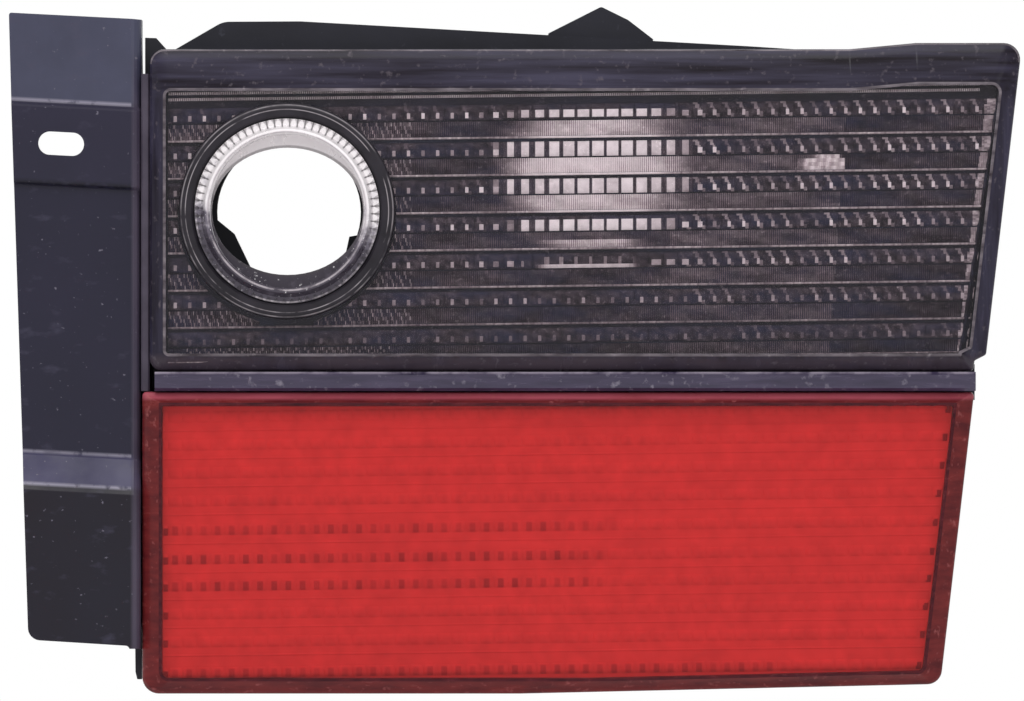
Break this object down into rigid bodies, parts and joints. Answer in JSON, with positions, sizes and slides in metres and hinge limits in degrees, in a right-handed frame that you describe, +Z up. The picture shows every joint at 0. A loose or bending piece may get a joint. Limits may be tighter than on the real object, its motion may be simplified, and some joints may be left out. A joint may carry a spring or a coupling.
{
  "type": "tail light cluster",
  "caption": "Inner rear lamp for a boot lid: smoked reversing lens over a red fog lens, a lined hole for the lock, a stepped side plate and twist-in bulb holders behind.",
  "frame": {"origin": "on the axis of the lock hole, in the plane of the lens faces", "axes": "+X to the right along the lamp as seen from behind the car, +Y back towards the boot lid, +Z up"},
  "size_m": [0.2431, 0.0784, 0.1652],
  "materials": {
    "black_moulding": "satin black, moulded",
    "smoked_lens": "polished smoked acrylic with optics inside",
    "red_lens": "polished red acrylic with optics inside",
    "gloss_strip": "glossy dark blue-grey",
    "painted_sheet": "satin black paint on pressed sheet",
    "silver_collar": "bright silver",
    "black_rubber": "matt black rubber",
    "zinc_steel": "zinc plated",
    "metallised_plastic": "vacuum-metallised silver",
    "sealing_bead": "cured sealant",
    "bulb_glass": "clear",
    "bulb_brass": "plain brass",
    "tungsten": "drawn wire",
    "grey_moulding": "satin dark grey, moulded",
    "contact_brass": "tinned brass strip",
    "foam_gasket": "closed-cell foam"
  },
  "bodies": {
    "root": {"housing": "black_moulding", "upper_lens": "smoked_lens", "lower_lens": "red_lens", "divider_strip": "gloss_strip", "side_bracket": "painted_sheet", "lock_collar": "silver_collar", "lock_seal": "black_rubber", "locating_hook": "black_moulding", "hook_screw": "zinc_steel", "upper_reflector": "metallised_plastic", "lower_reflector": "metallised_plastic", "upper_lens_seal": "sealing_bead", "lower_lens_seal": "sealing_bead", "reverse_bulb_glass": "bulb_glass", "reverse_bulb_base": "bulb_brass", "reverse_bulb_filament": "tungsten", "fog_bulb_glass": "bulb_glass", "fog_bulb_base": "bulb_brass", "fog_bulb_filament": "tungsten", "reverse_holder": "grey_moulding", "fog_holder": "grey_moulding", "reverse_holder_seal": "black_rubber", "fog_holder_seal": "black_rubber", "reverse_contacts": "contact_brass", "fog_contacts": "contact_brass", "body_gasket": "foam_gasket", "mounting_studs": "zinc_steel", "stud_seals": "black_rubber", "bracket_screws": "zinc_steel", "reflector_screws": "zinc_steel", "vent_caps": "black_rubber"}
  },
  "joints": []
}
